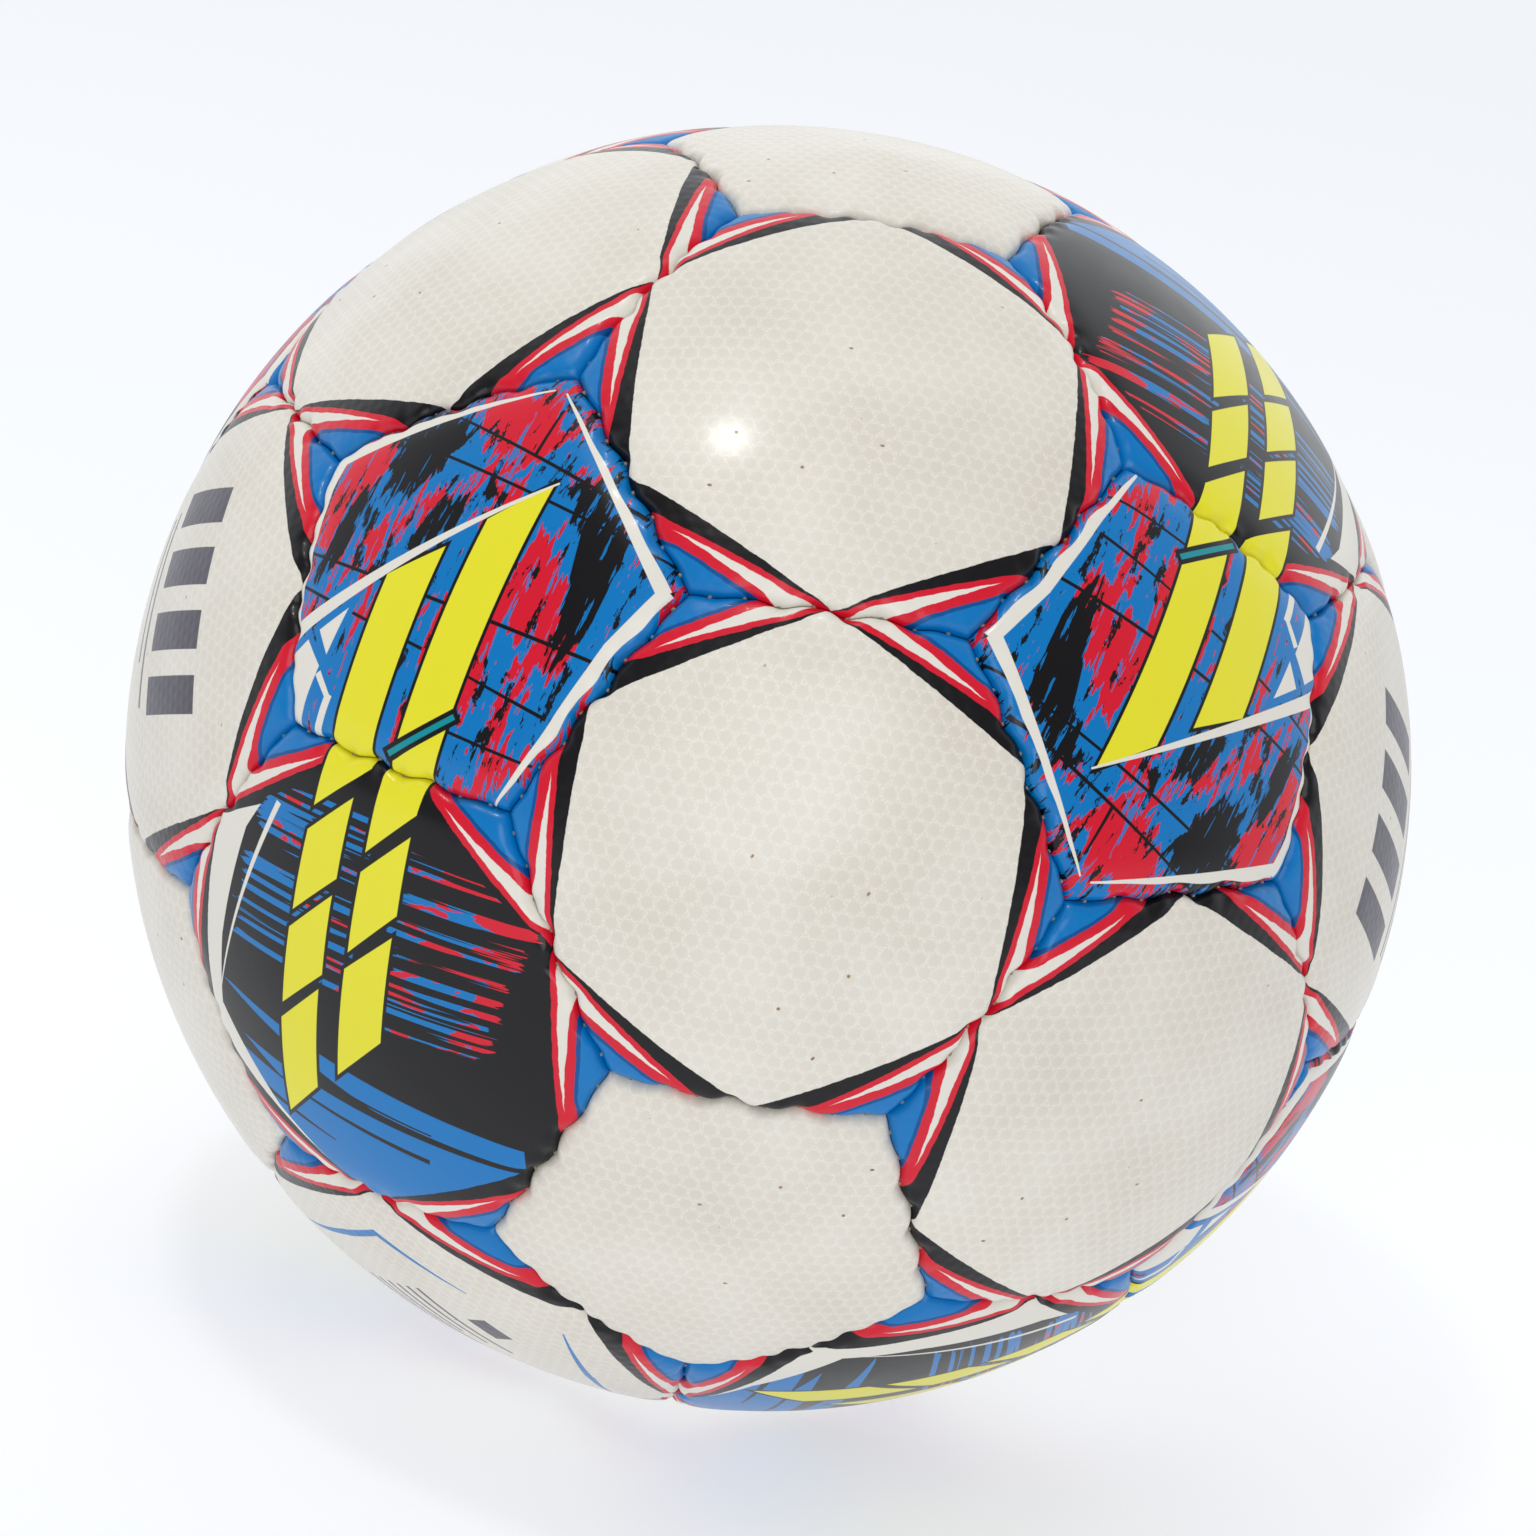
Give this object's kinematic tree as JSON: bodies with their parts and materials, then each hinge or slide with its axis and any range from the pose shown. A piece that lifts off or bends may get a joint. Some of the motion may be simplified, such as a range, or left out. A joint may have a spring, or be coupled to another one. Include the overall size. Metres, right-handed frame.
{
  "type": "soccer ball",
  "caption": "Hand-stitched futsal ball: pearl white pentagon and hexagon panels with star-shaped corner bands, some printed dark, over a lined rubber bladder with a needle valve.",
  "frame": {"origin": "centre of the ball", "axes": "+Z through the middle of the top pentagon, so that the ball stands on the opposite pentagon; +Y is the side of the valve, whose hexagon adjoins the top pentagon"},
  "size_m": [0.2006, 0.2006, 0.2006],
  "materials": {
    "pearl_cover": "pearl white coated synthetic leather, glossy, with a fine embossed hexagon grain",
    "camo_cover": "synthetic leather printed in blue, red and black, glossy",
    "dark_cover": "synthetic leather printed in black with yellow bars, glossy",
    "foam": "closed-cell foam, matt",
    "lining_cloth": "woven polyester and cotton, bonded",
    "waxed_thread": "waxed polyester thread",
    "bladder_rubber": "smooth rubber, satin",
    "valve_rubber": "moulded rubber, satin",
    "plug_rubber": "soft rubber, matt",
    "patch_rubber": "rubber sheet, matt"
  },
  "bodies": {
    "root": {"pentagon_top": "pearl_cover", "pentagon_upper_1": "camo_cover", "pentagon_upper_2": "camo_cover", "pentagon_upper_3": "pearl_cover", "pentagon_upper_4": "pearl_cover", "pentagon_upper_5": "camo_cover", "pentagon_lower_1": "pearl_cover", "pentagon_lower_2": "camo_cover", "pentagon_lower_3": "camo_cover", "pentagon_lower_4": "camo_cover", "pentagon_lower_5": "pearl_cover", "pentagon_bottom": "pearl_cover", "hexagon_top_1": "pearl_cover", "hexagon_top_2": "dark_cover", "hexagon_top_3": "pearl_cover", "hexagon_top_4": "dark_cover", "hexagon_top_5": "pearl_cover", "hexagon_upper_1": "pearl_cover", "hexagon_upper_2": "pearl_cover", "hexagon_upper_3": "dark_cover", "hexagon_upper_4": "pearl_cover", "hexagon_upper_5": "pearl_cover", "hexagon_lower_1": "dark_cover", "hexagon_lower_2": "pearl_cover", "hexagon_lower_3": "pearl_cover", "hexagon_lower_4": "pearl_cover", "hexagon_lower_5": "pearl_cover", "hexagon_bottom_1": "pearl_cover", "hexagon_bottom_2": "dark_cover", "hexagon_bottom_3": "pearl_cover", "hexagon_bottom_4": "pearl_cover", "hexagon_bottom_5": "dark_cover", "foam_pentagons": "foam", "foam_hexagons": "foam", "lining_pentagons": "lining_cloth", "lining_hexagons": "lining_cloth", "thread_pentagon_top": "waxed_thread", "thread_pentagon_upper_1": "waxed_thread", "thread_pentagon_upper_2": "waxed_thread", "thread_pentagon_upper_3": "waxed_thread", "thread_pentagon_upper_4": "waxed_thread", "thread_pentagon_upper_5": "waxed_thread", "thread_pentagon_lower_1": "waxed_thread", "thread_pentagon_lower_2": "waxed_thread", "thread_pentagon_lower_3": "waxed_thread", "thread_pentagon_lower_4": "waxed_thread", "thread_pentagon_lower_5": "waxed_thread", "thread_pentagon_bottom": "waxed_thread", "thread_hexagons": "waxed_thread", "bladder": "bladder_rubber", "valve_socket": "valve_rubber", "valve_plug": "plug_rubber", "valve_patch": "patch_rubber", "valve_washer": "valve_rubber", "balance_patch": "patch_rubber"}
  },
  "joints": []
}
